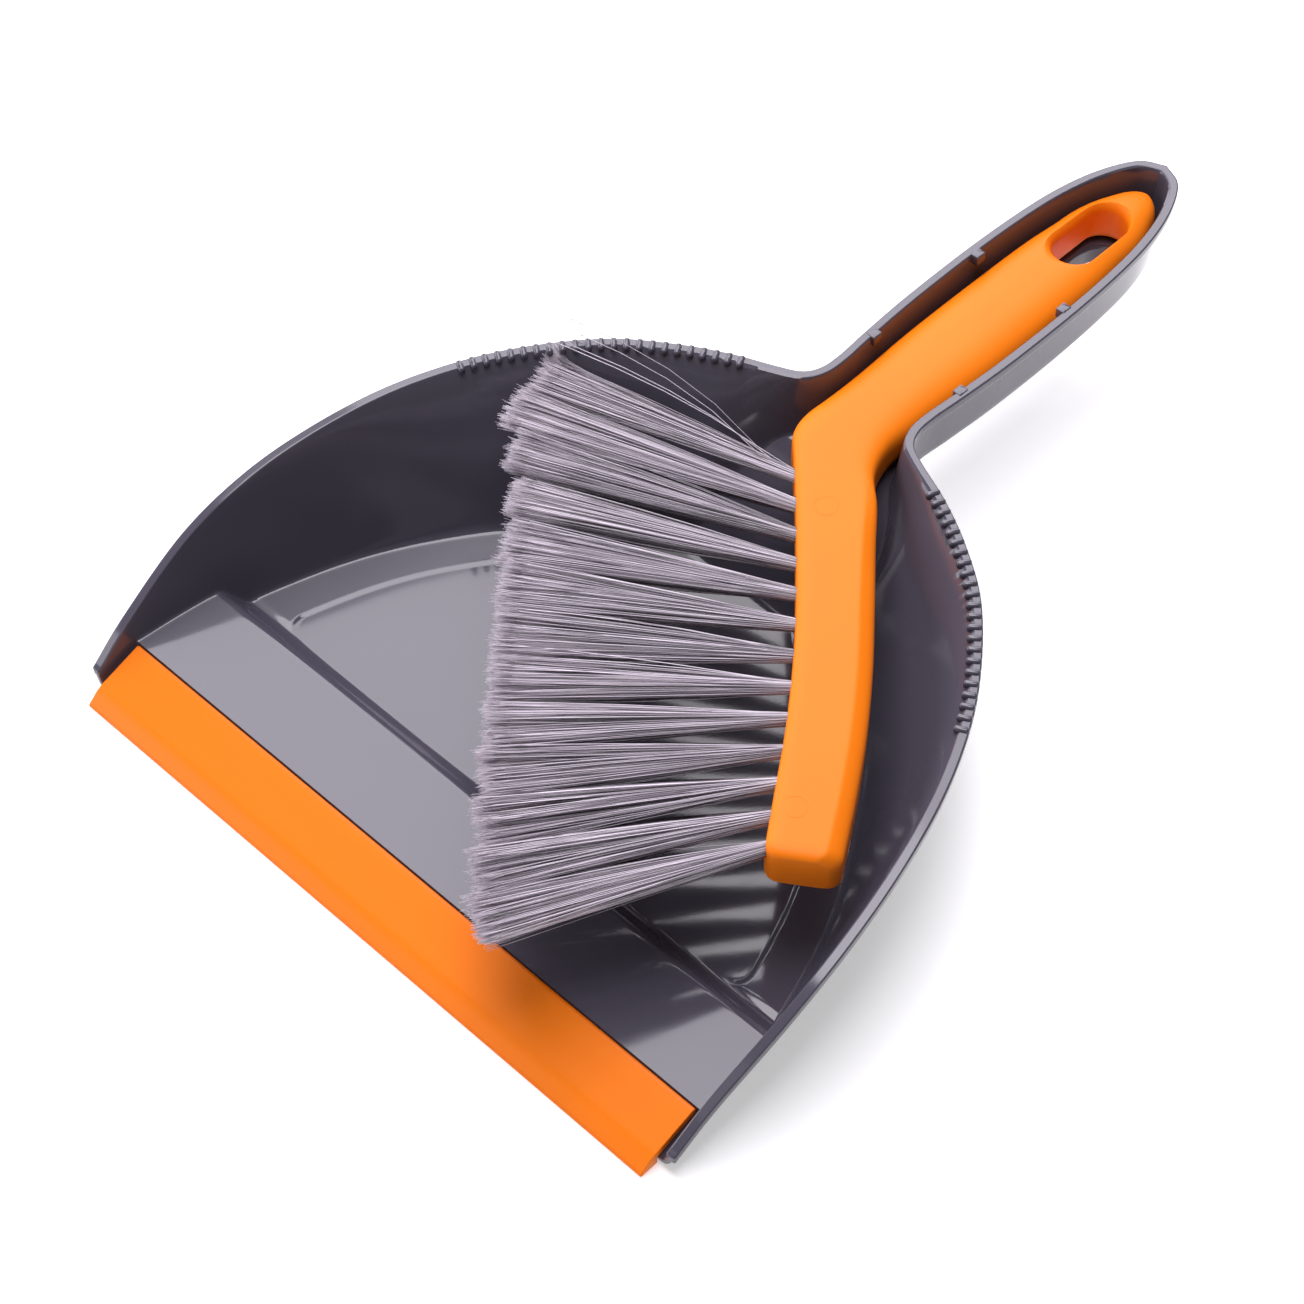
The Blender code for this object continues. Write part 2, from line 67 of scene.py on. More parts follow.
# the rim's x, y and z, the wall's lean in degrees, and the y where a rib that ends at
# that place meets the middle line
RIM_KEYS = (
    (111.3, -160.2, 6.6, 12, -160.2),
    (112.3, -146.0, 17.0, 13, -146.0),
    (113.9, -122.0, 29.7, 16, -122.0),
    (112.9, -99.5, 37.2, 19, -100.0),
    (109.4, -77.0, 41.6, 22, -80.0),
    (103.4, -54.3, 44.5, 26, -64.0),
    (94.5, -33.5, 46.2, 29, -50.0),
    (83.9, -16.6, 47.4, 31, -38.0),
    (69.5, 0.2, 48.3, 32, -25.0),
    (54.4, 11.7, 48.6, 32, -12.0),
    (40.0, 20.0, 48.7, 30, -1.0),
    (28.0, 25.2, 48.7, 18, 11.0),
    (21.0, 28.9, 48.7, 9, 20.0),
    (18.1, 34.0, 48.7, 7, 29.0),
    (17.7, 41.5, 48.7, 7, 39.0),
    (18.5, 52.0, 48.7, 7, 50.0),
    (19.5, 71.0, 48.7, 7, 69.0),
    (19.7, 98.0, 48.7, 7, 95.0),
    (18.8, 121.0, 48.7, 7, 116.0),
    (16.9, 137.5, 48.7, 7, 130.0),
    (13.2, 151.5, 48.7, 8, 140.0),
    (7.4, 162.5, 48.7, 9, 146.0),
    (0.0, 166.5, 48.7, 9, 148.0),
)
# the bead's section, as steps in from the rim's outer edge and up from its top
BEAD = ((2.75, -0.1), (2.5, 0.0), (2.35, 0.0), (0.6, 0.0), (0.45, 0.0), (0.2, -0.1),
        (0.05, -0.32), (0.0, -0.6), (0.0, -0.8), (0.0, -2.1), (0.0, -2.3), (0.06, -2.6),
        (0.3, -2.9), (0.75, -3.0))
BEAD_LAP = 0.4              # how far below the bead's top the wall's face ends
# where a rib has its points, in from the wall's foot: closest at the fillet and the border
FLOOR_INSETS = np.array((0.0, 0.4, 0.8, 1.2, 1.7, 2.3, 3.1, 4.2, 5.6, 7.4, 9.2, 10.6, 11.4,
                         12.0, 12.4, 12.8, 13.2, 13.6, 14.0, 14.6, 15.4, 16.6, 18.5))
FULL_FOOT = 30.0            # a rib with a nearer foot than this has its insets squeezed
MIDDLE_POINTS, CLIMB_POINTS = 12, 16
CLIMB_EASE = 1.4            # above 1, the points on the wall are closer at its foot
RIM_STEPS = 50              # points on the rim from one row of its keys to the next
STRAIGHT_KEYS = 8           # rows of keys along the pan's side
RIB_SPACING = 1.7
STEP_DENSITY = 2.6          # ribs are this much closer where the floor steps
RIB_SAMPLES = 240


def smooth_curve(keys, count):
    """A Catmull-Rom curve through rows of numbers."""
    keys = np.array(keys, dtype=float)
    padded = np.vstack([2 * keys[0] - keys[1], keys, 2 * keys[-1] - keys[-2]])
    t = np.linspace(0.0, 1.0, count, endpoint=False)[:, None]
    runs = []
    for before, start, end, after in zip(padded, padded[1:], padded[2:], padded[3:]):
        runs.append(0.5 * (2 * start + (end - before) * t
                           + (2 * before - 5 * start + 4 * end - after) * t ** 2
                           + (3 * start - before - 3 * end + after) * t ** 3))
    return np.vstack(runs + [keys[-1:]])


def smoothstep(value, start, end):
    """0 before start, 1 after end, and a smooth climb between."""
    t = np.clip((value - start) / (end - start), 0.0, 1.0)
    return t * t * (3.0 - 2.0 * t)


def soft_max(a, b, width):
    """The larger of two heights, with a fillet where they meet."""
    blend = np.clip(width - np.abs(a - b), 0.0, None) / width
    return np.maximum(a, b) + blend * blend * width / 4


def select_only(*things):
    """Select some objects and nothing else, and make the first active."""
    bpy.ops.object.select_all(action="DESELECT")
    for thing in things:
        thing.select_set(True)
    bpy.context.view_layer.objects.active = things[0]


def sheet(name, points):
    """A grid primitive shaped over rows of points in millimetres."""
    rows, columns = points.shape[:2]
    bpy.ops.object.select_all(action="DESELECT")
    bpy.ops.mesh.primitive_grid_add(x_subdivisions=columns - 1, y_subdivisions=rows - 1)
    thing = bpy.context.object
    thing.name = name
    thing.data.vertices.foreach_set("co", (points.reshape(-1) * MM).astype(np.float32))
    thing.data.update()
    return thing


def shade_smooth(thing, angle):
    """Shade smooth, but keep edges sharp where faces meet at more than an angle."""
    select_only(thing)
    bpy.ops.object.shade_smooth_by_angle(angle=math.radians(angle))


def close_up(thing, angle=35.0):
    """Merge doubles, fill what is open, turn the faces out and shade smooth."""
    select_only(thing)
    bpy.ops.object.mode_set(mode="EDIT")
    bpy.ops.mesh.select_all(action="SELECT")
    bpy.ops.mesh.remove_doubles(threshold=0.000002)
    bpy.ops.mesh.fill_holes(sides=0)
    bpy.ops.mesh.select_all(action="SELECT")
    bpy.ops.mesh.normals_make_consistent(inside=False)
    bpy.ops.object.mode_set(mode="OBJECT")
    shade_smooth(thing, angle)


def apply_modifier(thing, kind, **settings):
    """Add one modifier to an object and apply it."""
    select_only(thing)
    bpy.ops.object.modifier_add(type=kind)
    step = thing.modifiers[-1]
    for name, value in settings.items():
        setattr(step, name, value)
    bpy.ops.object.modifier_apply(modifier=step.name)


def boolean(thing, tool, operation):
    """One exact Boolean, after which the tool is removed."""
    apply_modifier(thing, "BOOLEAN", operation=operation, object=tool, solver="EXACT")
    bpy.data.objects.remove(tool, do_unlink=True)


RIM = smooth_curve(RIM_KEYS, RIM_STEPS)
HALF_RIM = RIM[:, :2]


def wall_height(places):
    """Height of the leaning walls over places in plan, and how far the rim is."""
    places = np.column_stack([np.abs(places[:, 0]), places[:, 1]])
    found = []
    for place in places:
        reach = np.hypot(*(HALF_RIM - place).T)
        near = int(np.argmin(reach))
        best = (reach[near], near, 0.0)
        for start in (near - 1, near):
            if 0 <= start < len(RIM) - 1:
                run = HALF_RIM[start + 1] - HALF_RIM[start]
                part = np.clip(np.dot(place - HALF_RIM[start], run) / np.dot(run, run), 0.0, 1.0)
                gap = np.hypot(*(place - HALF_RIM[start] - run * part))
                best = min(best, (gap, start, part))
        gap, start, part = best
        row = RIM[start] + (RIM[min(start + 1, len(RIM) - 1)] - RIM[start]) * part
        found.append((row[2] - (gap - RIM_WIDTH) / math.tan(math.radians(row[3])), gap))
    return np.array(found).T


def tongue_top(y):
    """Height of the tongue that the lip is bonded to."""
    top = LIP_REAR[1] + LIP_SLOPE * (y - LIP_REAR[0])
    return top - (LIP_THICKNESS + BOND_GAP) / math.cos(math.atan(LIP_SLOPE))


def floor_height(y):
    """Height of the pan's floor along its middle line."""
    strip = STRIP_Z + (PAN_WALL - STRIP_Z) * smoothstep(y, STEP_FRONT, STEP_REAR)
    ramp = strip + (CHANNEL_Z - PAN_WALL) * smoothstep(y, RAMP_FRONT, RAMP_REAR)
    return np.where(y < SHOULDER, tongue_top(y), ramp)


def rib_rows():
    """Where the ribs stand: evenly along the rim, and closer where the floor steps."""
    step = np.abs(np.diff(RIM, axis=0))
    run = np.maximum(np.hypot(step[:, 0], step[:, 1]), step[:, 4])
    middle = (RIM[1:, 4] + RIM[:-1, 4]) / 2
    near_step = (middle > STEP_FRONT - 3) & (middle < STEP_REAR + 7)
    run = run * np.where(near_step, STEP_DENSITY, 1.0)
    total = np.concatenate([[0.0], np.cumsum(run)])
    stops = np.linspace(0.0, total[-1], int(total[-1] / RIB_SPACING))
    rows = [[np.interp(stop, total, RIM[:, i]) for i in range(5)] for stop in stops]
    straight = RIM[:STRAIGHT_KEYS * RIM_STEPS]
    for y in (RIM[0, 1] + FRONT_ROUND, SHOULDER - 0.3, SHOULDER + 0.15):
        rows.append([np.interp(y, straight[:, 4], straight[:, i]) for i in range(5)])
    return sorted(rows[1:], key=lambda row: row[4])


def border_height(stops, foot, y):
    """The step of the floor's border, from the low panel up to the walls' foot."""
    inside = foot - stops - BORDER_WIDTH
    behind = y - STEP_REAR
    corner = np.hypot(np.minimum(inside - BORDER_CORNER, 0.0),
                      np.minimum(behind - BORDER_CORNER, 0.0))
    on_panel = smoothstep(BORDER_CORNER - corner, -BORDER_SLOPE, BORDER_SLOPE)
    along = smoothstep(y, STEP_REAR, STEP_REAR + 2.5) * (1.0 - smoothstep(y, *BORDER_ENDS))
    near_wall = 1.0 - smoothstep(stops, foot - 1.0, foot + 4.0)
    return BORDER_RISE * (1.0 - on_panel) * along * near_wall


def rib_section(row):
    """One closed rib of the right half, and the core line that its ends close on."""
    rim_x, rim_y, rim_z, _, centre_y = row
    centre = np.array((0.0, centre_y))
    length = math.hypot(rim_x, rim_y - centre_y)
    outward = (np.array((rim_x, rim_y)) - centre) / length
    reach = np.linspace(0.0, length, RIB_SAMPLES)
    wall, gap = wall_height(centre + reach[:, None] * outward)
    low = floor_height(centre_y + reach * outward[1])
    foot = np.interp(0.0, wall - low, reach)
    top = np.interp(-RIM_WIDTH, -gap, reach)
    stops = foot - FLOOR_INSETS[::-1] * min(1.0, foot / FULL_FOOT)
    climb = foot + (top - foot) * np.linspace(0.0, 1.0, CLIMB_POINTS)[1:] ** CLIMB_EASE
    stops = np.concatenate([np.linspace(0.0, stops[0], MIDDLE_POINTS)[:-1], stops, climb])
    height = np.interp(stops, reach, soft_max(wall, low, FOOT_FILLET))
    height += border_height(stops, foot, centre_y + stops * outward[1])
    height[-1] = rim_z - BEAD_LAP
    face = np.column_stack([stops, height])
    bead = np.array([(length - inset, rim_z + rise) for inset, rise in BEAD])
    tangent = np.gradient(face, axis=0)
    tangent /= np.linalg.norm(tangent, axis=1)[:, None]
    back = face + PAN_WALL * np.column_stack([tangent[:, 1], -tangent[:, 0]])
    back[:, 0] = np.maximum.accumulate(np.maximum(back[:, 0], 0.0))
    back[0, 0] = 0.0
    ring = np.vstack([face, bead, back[-3::-1]])
    middle = (face + back) / 2
    core = np.vstack([middle, np.repeat(middle[-3:-2], len(bead), axis=0), middle[-3::-1]])
    places = centre + np.stack([ring[:, :1], core[:, :1]]) * outward
    heights = np.stack([ring[:, 1:], core[:, 1:]])
    return np.concatenate([places, heights], axis=2)


def pan_ribs():
    """All the ribs of the right half, with the front ends rounded over."""
    ribs = np.array([rib_section(row) for row in rib_rows()])
    first, core = ribs[0]
    ends = []
    for turn in np.radians((80, 60, 40, 20)):
        shrink = FRONT_ROUND / PAN_WALL * 2 * (1 - math.cos(turn))
        ends.append(first + (core - first) * shrink - (0.0, FRONT_ROUND * math.sin(turn), 0.0))
    ribs = np.concatenate([ends, ribs[:, 0]])
    ribs[-1, :, 0] = 0.0
    ribs[:, (0, -1), 0] = 0.0
    return ribs


pan = sheet("pan_moulding", pan_ribs())
apply_modifier(pan, "MIRROR", merge_threshold=0.00001)
close_up(pan, 50.0)

# The hanging hole with its skirt, and the nubs that hold the brush handle down. The
# levels are a width, a length and a height each.
HOLE_Y = 131.5
SKIRT_Z = 23.0
SKIRT_LEVELS = ((14.8, 28.8, SKIRT_Z), (15.4, 29.4, SKIRT_Z + 0.3),
                (15.4, 29.4, CHANNEL_Z - 1.0))
HOLE_LEVELS = ((12.0, 26.0, SKIRT_Z - 5), (12.0, 26.0, CHANNEL_Z - 0.8),
               (12.6, 26.6, CHANNEL_Z - 0.2), (14.0, 28.0, CHANNEL_Z + 1.0))
NUB_SIZE = (3.0, 3.6, 3.4)
NUB_X, NUB_Z = 16.0, 47.2
NUB_ROWS = (54.0, 99.0)
NUB_ROUND = 0.35


def stadium(width, length, z, round_steps=16):
    """An oblong ring with round ends, lying along Y round the hanging hole."""
    turns = np.linspace(0.0, math.pi, round_steps)
    arc = np.column_stack([np.cos(turns), np.sin(turns)]) * width / 2
    straight = length / 2 - width / 2
    ring = np.vstack([arc + (0.0, straight), -arc - (0.0, straight)])
    ring = np.vstack([ring, ring[:1]]) + (0.0, HOLE_Y)
    return np.column_stack([ring, np.full(len(ring), z)])


def oblong(name, levels):
    """A closed oblong solid through levels of width, length and height."""
    solid = sheet(name, np.array([stadium(*level) for level in levels]))
    close_up(solid)
    return solid


boolean(pan, oblong("skirt", SKIRT_LEVELS), "UNION")
boolean(pan, oblong("pan_hole", HOLE_LEVELS), "DIFFERENCE")


def rounded_block(name, size, place, round_over):
    """A cube primitive at its place, with all its edges bevelled round."""
    bpy.ops.object.select_all(action="DESELECT")
    bpy.ops.mesh.primitive_cube_add(size=1.0)
    block = bpy.context.object
    block.name = name
    block.matrix_world = place @ Matrix.Diagonal((*[value * MM for value in size], 1.0))
    bpy.ops.object.transform_apply(location=True, rotation=True, scale=True)
    bpy.ops.object.mode_set(mode="EDIT")
    bpy.ops.mesh.select_all(action="SELECT")
    bpy.ops.mesh.bevel(offset=round_over * MM, segments=3, affect="EDGES")
    bpy.ops.object.mode_set(mode="OBJECT")
    return block


def join(pieces):
    """Make several objects one."""
    select_only(*pieces)
    bpy.ops.object.join()
    return bpy.context.object


nubs = []
for y in NUB_ROWS:
    for side in (1, -1):
        place = Matrix.Translation(Vector((side * NUB_X, y, NUB_Z)) * MM)
        nubs.append(rounded_block("nub", NUB_SIZE, place, NUB_ROUND))
boolean(pan, join(nubs), "UNION")

# The comb along both rear rims: rounded teeth that clean the bristles.
TOOTH_COUNT, TOOTH_PITCH = 23, 3.72
TOOTH_SIZE = (1.9, 4.3, 2.4)        # along the rim, across it, tall
TOOTH_PROUD = 0.7
TOOTH_ROUND = 0.8
TOOTH_INSET = 0.05          # from the rim's outer edge
FIRST_TOOTH = (36.5, 21.5)  # x and y of the first one, beside the neck

first_tooth = int(np.argmin(np.hypot(*(HALF_RIM - FIRST_TOOTH).T)))
back_rim = RIM[first_tooth::-1]
back_run = np.concatenate([[0.0], np.cumsum(np.hypot(*np.diff(back_rim[:, :2], axis=0).T))])
teeth = []
for number in range(TOOTH_COUNT):
    at, ahead = (np.array([np.interp(number * TOOTH_PITCH + reach, back_run, back_rim[:, i])
                           for i in range(3)]) for reach in (0.0, 1.0))
    turn = math.atan2(ahead[1] - at[1], ahead[0] - at[0])
    inset = TOOTH_SIZE[1] / 2 + TOOTH_INSET
    for side in (1, -1):
        place = Vector((side * (at[0] + inset * math.sin(turn)), at[1] - inset * math.cos(turn),
                        at[2] + TOOTH_PROUD - TOOTH_SIZE[2] / 2)) * MM
        place = Matrix.Translation(place) @ Matrix.Rotation(side * turn, 4, "Z")
        teeth.append(rounded_block("tooth", TOOTH_SIZE, place, TOOTH_ROUND))
boolean(pan, join(teeth), "UNION")
shade_smooth(pan, 40.0)


class Value:
    """A node's output that can be used in sums."""

    def __init__(self, finish, socket):
        self.finish, self.socket = finish, socket

    def maths(self, operation, other):
        """One Math node on this value and another value or number."""
        return self.finish.node("Math", {"operation": operation}, {0: self, 1: other})

    def __add__(self, other):
        return self.maths("ADD", other)

    def __mul__(self, other):
        return self.maths("MULTIPLY", other)

    __radd__ = __add__
    __rmul__ = __mul__


class Finish:
    """A material being built: its Principled shader, and the nodes that feed it."""

    def __init__(self, name, **constants):
        self.material = bpy.data.materials.new(name)
        self.material.use_nodes = True
        self.tree = self.material.node_tree
        self.shader = self.tree.nodes["Principled BSDF"]
        for name, value in constants.items():
            self.shader.inputs[name.replace("_", " ")].default_value = value

    def node(self, kind, settings=None, inputs=None, output=0):
        """A new node, with its settings made first and then its sockets fed."""
        made = self.tree.nodes.new("ShaderNode" + kind)
        for name, value in (settings or {}).items():
            setattr(made, name, value)
        for name, value in (inputs or {}).items():
            self.feed(made.inputs[name], value)
        return Value(self, made.outputs[output])

    def feed(self, socket, value):
        """Link a value to a socket, or set the socket to a number or a colour."""
        if isinstance(value, Value):
            self.tree.links.new(value.socket, socket)
        else:
            socket.default_value = value

    def set(self, **inputs):
        """Feed the Principled shader's own sockets."""
        for name, value in inputs.items():
            self.feed(self.shader.inputs[name.replace("_", " ")], value)

    def place(self, scale=(1.0, 1.0, 1.0)):
        """Object coordinates, stretched."""
        where = self.node("TexCoord", output="Object")
        return self.node("Mapping", inputs={"Vector": where, "Scale": scale})

    def noise(self, scale, detail=2.0, stretch=(1.0, 1.0, 1.0), rough=0.5):
        """Noise in object coordinates: a stretch below 1 draws it out along that axis."""
        return self.node("TexNoise", inputs={"Vector": self.place(stretch), "Scale": scale,
                                             "Detail": detail, "Roughness": rough})

    def ramp(self, value, low, high):
        """0 below low and 1 above high."""
        return self.node("MapRange", {"interpolation_type": "SMOOTHSTEP"},
                         {"Value": value, "From Min": low, "From Max": high})

    def mix(self, factor, colour_a, colour_b):
        """A blend of two colours."""
        return self.node("Mix", {"data_type": "RGBA"},
                         {0: factor, 6: as_colour(colour_a), 7: as_colour(colour_b)}, output=2)

    def bump(self, height, distance, strength=1.0, normal=None):
        """A bump of some height in metres, over another bump where one is given."""
        inputs = {"Height": height, "Distance": distance, "Strength": strength}
        if normal is not None:
            inputs["Normal"] = normal
        return self.node("Bump", inputs=inputs)


def as_colour(value):
    """A colour of three numbers as one of four. A Value stays as it is."""
    return value if isinstance(value, Value) else (*value, 1.0)


def put_on(thing, finish):
    """Give a piece one finish all over."""
    thing.data.materials.clear()
    thing.data.materials.append(finish.material)


# Polished polypropylene: a faint mottle, scuffs drawn out lengthwise, and sink waves.
pan_gloss = Finish("glossy grey polypropylene", IOR=1.56)
mottle = pan_gloss.noise(18.0, 3.0)
scuffs = pan_gloss.ramp(pan_gloss.noise(140.0, 6.0, (1.0, 0.25, 1.0), 0.7), 0.60, 0.78)
pan_gloss.set(
    Base_Color=pan_gloss.mix(mottle, (0.072, 0.066, 0.089), (0.080, 0.074, 0.099)),
    Roughness=0.08 + mottle * 0.03 + scuffs * 0.07,
    Normal=pan_gloss.bump(pan_gloss.noise(900.0, 2.0), 0.00002, 0.25,
                          pan_gloss.bump(pan_gloss.noise(26.0, 1.0), 0.0004, 0.35)))
put_on(pan, pan_gloss)
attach(pan, "pan_body")
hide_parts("pan")


# ==== The lip ======================================================================
# A soft strip of orange rubber, extruded and bonded over the pan's front edge. It lies
# flat on the ground with a bevelled nose, and has a rounded rear edge.
LIP_HALF_LENGTH = 106.2
LIP_FRONT, LIP_NOSE_REAR = -166.5, -160.5
LIP_NOSE_Z = 0.7
CREASE_ROUND, REAR_ROUND, NOSE_ROUND, END_ROUND = 1.6, 1.1, 0.3, 0.35

leaf_drop = LIP_THICKNESS / math.cos(math.atan(LIP_SLOPE))
leaf_front = LIP_REAR[1] + LIP_SLOPE * (LIP_NOSE_REAR - LIP_REAR[0]) - leaf_drop
lip_profile = ((LIP_FRONT, 0.0), (LIP_FRONT, LIP_NOSE_Z), LIP_CREASE, LIP_REAR,
               (LIP_REAR[0], LIP_REAR[1] - leaf_drop), (LIP_NOSE_REAR, leaf_front),
               (LIP_NOSE_REAR, 0.0))
bpy.ops.object.select_all(action="DESELECT")
bpy.ops.mesh.primitive_circle_add(vertices=len(lip_profile), fill_type="NGON")
lip = bpy.context.object
lip.name = "scraper_lip"
for corner, (y, z) in zip(lip.data.vertices, lip_profile):
    corner.co = Vector((-LIP_HALF_LENGTH, y, z)) * MM
bpy.ops.object.mode_set(mode="EDIT")
bpy.ops.mesh.select_all(action="SELECT")
bpy.ops.mesh.extrude_region_move(
    TRANSFORM_OT_translate={"value": (2 * LIP_HALF_LENGTH * MM, 0, 0)})
bpy.ops.object.mode_set(mode="OBJECT")


def bevel_edges(thing, chosen, offset, segments):
    """Round the edges of a piece that a test on their two ends picks."""
    select_only(thing)
    mesh = thing.data
    for part in (mesh.vertices, mesh.edges, mesh.polygons):
        part.foreach_set("select", [False] * len(part))
    for edge in mesh.edges:
        edge.select = chosen(*[mesh.vertices[i].co / MM for i in edge.vertices])
    bpy.ops.object.mode_set(mode="EDIT")
    bpy.ops.mesh.select_mode(type="EDGE")
    bpy.ops.mesh.bevel(offset=offset * MM, segments=segments, affect="EDGES")
    bpy.ops.mesh.select_mode(type="VERT")
    bpy.ops.object.mode_set(mode="OBJECT")


def along_x(y, z):
    """A test for the long edge at one place of the profile."""
    def test(a, b):
        middle = (a + b) / 2
        return abs(a.x - b.x) > 100 and math.hypot(middle.y - y, middle.z - z) < 0.05
    return test


def end_edge(a, b):
    """A test for the edges of the two end faces, apart from those on the ground."""
    return abs(a.x - b.x) < 0.01 and abs(a.z + b.z) > 0.3


bevel_edges(lip, along_x(*LIP_CREASE), CREASE_ROUND, 6)
bevel_edges(lip, along_x(*LIP_REAR), REAR_ROUND, 6)
bevel_edges(lip, along_x(LIP_FRONT, LIP_NOSE_Z), NOSE_ROUND, 3)
bevel_edges(lip, end_edge, END_ROUND, 3)
close_up(lip, 40.0)
apply_modifier(lip, "WEIGHTED_NORMAL", keep_sharp=True)

# Soft rubber with fine grain, and streaks that extrusion drew along its length.
lip_rubber = Finish("orange lip rubber", IOR=1.5, Specular_IOR_Level=0.22)
streaks = lip_rubber.noise(60.0, 4.0, (0.03, 1.0, 1.0), 0.6)
fine = lip_rubber.noise(700.0, 3.0, (0.4, 1.0, 1.0))
lip_rubber.set(
    Base_Color=lip_rubber.mix(streaks, (0.86, 0.175, 0.001), (0.95, 0.215, 0.002)),
    Roughness=0.30 + streaks * 0.12 + fine * 0.05,
    Normal=lip_rubber.bump(fine, 0.00003, 0.4, lip_rubber.bump(streaks, 0.0002, 0.35)))
put_on(lip, lip_rubber)
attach(lip, "pan_body")
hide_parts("lip")


# ==== The brush body ===============================================================
# Handle, neck and block are one orange moulding with a fine matt finish. The block is
# drilled along its edge for the tufts, and the handle has an oblong hanging hole.
BRUSH_MID_Z = 38.3
# left edge x, y, right edge x, y, half thickness, and how square the section is
BODY_KEYS = (
    (-12.5, 131.0, 12.5, 131.0, 7.7, 2.7),
    (-13.9, 112.0, 13.9, 112.0, 7.8, 2.7),
    (-14.2, 70.0, 14.2, 70.0, 7.8, 2.7),
    (-13.1, 44.0, 13.1, 48.0, 7.7, 2.8),
    (-12.8, 31.0, 12.8, 36.5, 7.5, 3.2),
    (-12.6, 21.0, 13.2, 27.0, 7.3, 4.0),
    (-10.0, 13.5, 17.0, 17.6, 7.1, 5.5),
    (-3.7, 6.8, 25.0, 9.5, 6.9, 8.0),
    (9.0, -6.2, 34.0, -1.2, 6.9, 8.0),
    (32.5, -31.8, 48.4, -17.8, 6.9, 8.0),
    (46.0, -47.8, 62.4, -34.4, 6.9, 8.0),
    (58.7, -64.4, 75.2, -51.2, 6.9, 8.0),
    (70.2, -81.0, 87.0, -68.6, 6.9, 8.0),
    (79.6, -94.6, 96.2, -83.2, 6.9, 8.0),
)
BODY_STEPS = 12
FACE_KEY = 7                # the row where the bristle face starts
HANDLE_TIP_Y = 158.2
HANDLE_TIP_HALF_THICKNESS = 4.0
# the tip is the wider of two curves: a full one, and a blunter one of this share
FULL_POWER, BLUNT_POWER, TIP_BLUNT = 1.25, 0.8, 0.86
BLOCK_END_RADIUS = 4.0
BLOCK_END_THINNING = 0.5    # half thickness lost for each millimetre of end rounding
CHAMFER = (4.6, 2.2)        # width and drop of the slope along the block's outer edge
CHAMFER_EASE = 0.2          # share of the slope that bends into the flat top
OUTLINE_SAMPLES = 721
SECTION_POINTS = 128

body = smooth_curve(BODY_KEYS, BODY_STEPS)


def body_section(left, right, half_thickness, square, chamfer=0.0):
    """A section across the body at even spacing, sloped along its outer top edge."""
    turn = np.linspace(-math.pi, math.pi, OUTLINE_SAMPLES)
    across = np.copysign(np.abs(np.cos(turn)) ** (2 / square), np.cos(turn))
    up = half_thickness * np.copysign(np.abs(np.sin(turn)) ** (2 / square), np.sin(turn))
    width = math.hypot(right[0] - left[0], right[1] - left[1])
    slope = np.clip(((across - 1.0) * width / 2 + CHAMFER[0]) / CHAMFER[0], 0.0, 1.0)
    slope = np.where(slope < CHAMFER_EASE, slope ** 2 / (2 * CHAMFER_EASE),
                     slope - CHAMFER_EASE / 2)
    up -= chamfer * CHAMFER[1] * slope * smoothstep(up, 0.0, half_thickness)
    outline = np.column_stack([across * width / 2, up])
    run = np.concatenate([[0.0], np.cumsum(np.hypot(*np.diff(outline, axis=0).T))])
    stops = np.linspace(0.0, run[-1], SECTION_POINTS + 1)
    across, up = (np.interp(stops, run, outline[:, i]) for i in range(2))
    middle, half = (left + right) / 2, (right - left) / width
    plan = middle + across[:, None] * half
    return np.column_stack([plan, BRUSH_MID_Z + up])


def body_sections():
    """Every section of the body, from the handle's tip to the block's end."""
    sections = []
    start = body[0]
    for turn in np.radians((2, 5, 9, 14, 20, 26, 33, 40, 48, 56, 64, 72, 80, 86)):
        rise = math.sin(turn)
        half = start[2] * max(rise ** FULL_POWER, TIP_BLUNT * rise ** BLUNT_POWER)
        y = start[1] + (HANDLE_TIP_Y - start[1]) * math.cos(turn)
        thick = HANDLE_TIP_HALF_THICKNESS + (start[4] - HANDLE_TIP_HALF_THICKNESS) * rise
        sections.append(body_section(np.array((-half, y)), np.array((half, y)), thick, start[5]))
    for number, row in enumerate(body):
        chamfer = smoothstep(number / BODY_STEPS, FACE_KEY - 1.0, FACE_KEY + 1.5)
        sections.append(body_section(row[:2], row[2:4], row[4], row[5], chamfer))
    left, right, half_thickness, square = body[-1][:2], body[-1][2:4], body[-1][4], body[-1][5]
    across = (right - left) / np.linalg.norm(right - left)
    ahead = np.array((across[1], -across[0]))
    for turn in np.radians((15, 30, 45, 60, 75, 85)):
        inset = BLOCK_END_RADIUS * (1 - math.cos(turn))
        reach = BLOCK_END_RADIUS * math.sin(turn) * ahead
        start, end = left + inset * across + reach, right - inset * across + reach
        thick = half_thickness - inset * BLOCK_END_THINNING
        sections.append(body_section(start, end, thick, square, 1.0))
    return np.array(sections)


brush_body = sheet("brush_handle", body_sections())
close_up(brush_body)

# The hanging hole, with a flare at both faces: how far out and how far up of its start.
BRUSH_HOLE = (13.0, 28.0)
FLARE_START = 3.8
FLARE = ((6.5, 7.0), (4.0, 4.0), (3.3, 3.94), (2.6, 3.75), (1.9, 3.4), (1.2, 2.86), (0.65, 2.19),
         (0.25, 1.39), (0.05, 0.63), (0.0, 0.0))
flare = [(BRUSH_HOLE[0] + 2 * out, BRUSH_HOLE[1] + 2 * out,
          BRUSH_MID_Z + side * (FLARE_START + rise))
         for side, ends in ((-1, 1), (1, -1)) for out, rise in FLARE[::ends]]
boolean(brush_body, oblong("brush_hole", flare), "DIFFERENCE")

